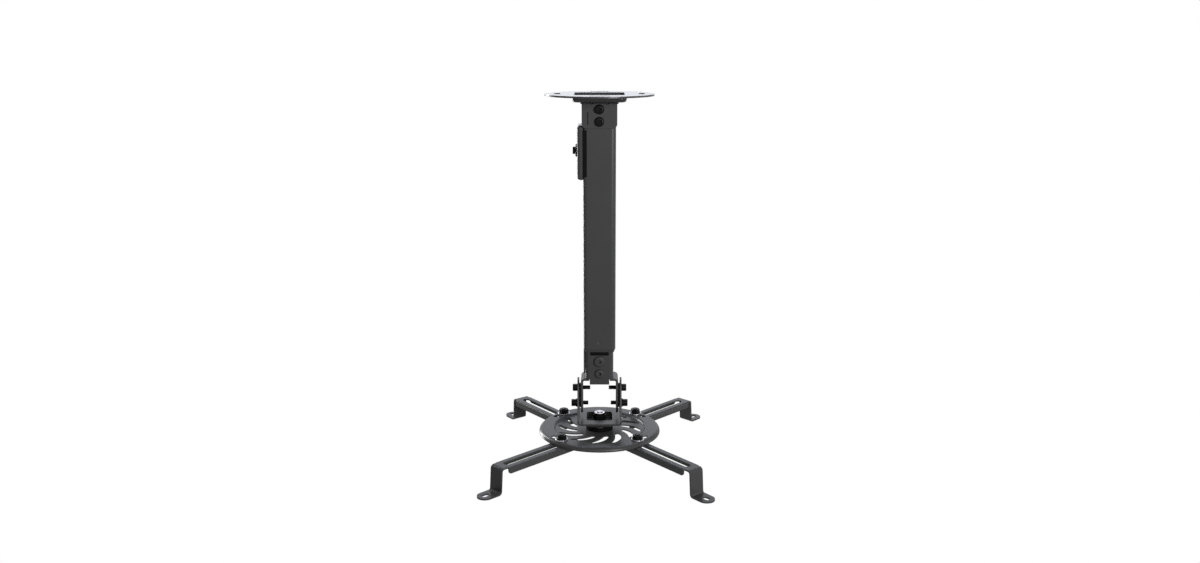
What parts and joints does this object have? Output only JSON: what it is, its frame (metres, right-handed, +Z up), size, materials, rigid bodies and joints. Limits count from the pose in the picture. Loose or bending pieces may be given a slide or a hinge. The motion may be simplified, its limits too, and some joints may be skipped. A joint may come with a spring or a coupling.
{
  "type": "projector ceiling mount",
  "caption": "Telescoping ceiling mount for a projector: round ceiling plate, square pole with a side height lock, tilt yoke and a swirl-slotted disc with slotted spider arms.",
  "frame": {"origin": "centre of the ceiling plate in its top face, where it meets the ceiling", "axes": "+Z up to the ceiling, -Y towards the front with the swing bolts' heads, -X towards the height lock"},
  "size_m": [0.2667, 0.2841, 0.428],
  "materials": {
    "powder_coat": "fine satin texture",
    "black_zinc": "semi-gloss",
    "zinc": "bright plated",
    "black_nylon": "matt",
    "white_nylon": "satin"
  },
  "bodies": {
    "ceiling": {"ceiling_plate": "powder_coat", "ceiling_bracket": "powder_coat", "swing_pivot_bolt": "black_zinc", "swing_pivot_nut": "black_zinc"},
    "pole": {"outer_tube": "powder_coat", "end_guides": "black_nylon", "swing_slot_bolt": "black_zinc", "swing_slot_nut": "black_zinc"},
    "drop": {"inner_tube": "powder_coat", "lock_saddle": "powder_coat", "lock_pad": "black_nylon", "lock_nut": "black_zinc", "tilt_yoke": "powder_coat", "neck_bolt_upper": "powder_coat", "neck_bolt_lower": "powder_coat", "neck_nuts": "black_zinc", "tilt_pivot_bolt_left": "black_zinc", "tilt_pivot_bolt_right": "black_zinc", "tilt_lock_bolt_left": "black_zinc", "tilt_lock_bolt_right": "black_zinc", "tilt_lock_washers": "black_zinc", "tilt_spacers": "black_zinc"},
    "lock": {"lock_screw": "black_zinc"},
    "tilt": {"tilt_bracket": "powder_coat", "swivel_bolt": "zinc", "swivel_nut": "black_zinc", "nylon_ring": "white_nylon", "swivel_washer": "zinc", "swivel_spacer": "black_nylon"},
    "spider": {"spider_disc": "powder_coat"},
    "arm_pivot_front_left": {"arm_bolt_front_left": "black_zinc", "arm_nut_front_left": "black_zinc", "arm_washer_front_left": "zinc", "arm_collar_front_left": "zinc"},
    "arm_front_left": {"arm_front_left": "powder_coat"},
    "arm_pivot_front_right": {"arm_bolt_front_right": "black_zinc", "arm_nut_front_right": "black_zinc", "arm_washer_front_right": "zinc", "arm_collar_front_right": "zinc"},
    "arm_front_right": {"arm_front_right": "powder_coat"},
    "arm_pivot_back_left": {"arm_bolt_back_left": "black_zinc", "arm_nut_back_left": "black_zinc", "arm_washer_back_left": "zinc", "arm_collar_back_left": "zinc"},
    "arm_back_left": {"arm_back_left": "powder_coat"},
    "arm_pivot_back_right": {"arm_bolt_back_right": "black_zinc", "arm_nut_back_right": "black_zinc", "arm_washer_back_right": "zinc", "arm_collar_back_right": "zinc"},
    "arm_back_right": {"arm_back_right": "powder_coat"}
  },
  "joints": [
    {"name": "pole_swing", "type": "hinge", "parent": "ceiling", "child": "pole", "pos_m": [0, 0, -0.0296], "axis": [0, -1, 0], "range_deg": [-6, 19]},
    {"name": "pole_extend", "type": "slide", "parent": "pole", "child": "drop", "axis": [0, 0, -1], "range_m": [0, 0.2]},
    {"name": "lock_turn", "type": "hinge", "parent": "drop", "child": "lock", "pos_m": [-0.025, 0, -0.063], "axis": [-1, 0, 0], "continuous": true},
    {"name": "tilt", "type": "hinge", "parent": "drop", "child": "tilt", "pos_m": [0, 0, -0.344], "axis": [1, 0, 0], "range_deg": [-15, 15]},
    {"name": "swivel", "type": "hinge", "parent": "tilt", "child": "spider", "pos_m": [0, 0, -0.396], "axis": [0, 0, 1], "continuous": true},
    {"name": "arm_swing_front_left", "type": "hinge", "parent": "spider", "child": "arm_pivot_front_left", "pos_m": [-0.04405, -0.04405, -0.396], "axis": [0, 0, 1], "range_deg": [-15, 15]},
    {"name": "arm_slide_front_left", "type": "slide", "parent": "arm_pivot_front_left", "child": "arm_front_left", "axis": [-0.7096, -0.7046, 0], "range_m": [-0.014, 0.012]},
    {"name": "arm_swing_front_right", "type": "hinge", "parent": "spider", "child": "arm_pivot_front_right", "pos_m": [0.04405, -0.04405, -0.396], "axis": [0, 0, 1], "range_deg": [-9, 21]},
    {"name": "arm_slide_front_right", "type": "slide", "parent": "arm_pivot_front_right", "child": "arm_front_right", "axis": [0.6334, -0.7738, 0], "range_m": [-0.014, 0.012]},
    {"name": "arm_swing_back_left", "type": "hinge", "parent": "spider", "child": "arm_pivot_back_left", "pos_m": [-0.04405, 0.04405, -0.396], "axis": [0, 0, 1], "range_deg": [-8, 22]},
    {"name": "arm_slide_back_left", "type": "slide", "parent": "arm_pivot_back_left", "child": "arm_back_left", "axis": [-0.6184, 0.7859, 0], "range_m": [-0.014, 0.012]},
    {"name": "arm_swing_back_right", "type": "hinge", "parent": "spider", "child": "arm_pivot_back_right", "pos_m": [0.04405, 0.04405, -0.396], "axis": [0, 0, 1], "range_deg": [-15, 15]},
    {"name": "arm_slide_back_right", "type": "slide", "parent": "arm_pivot_back_right", "child": "arm_back_right", "axis": [0.6972, 0.7169, 0], "range_m": [-0.014, 0.012]}
  ]
}
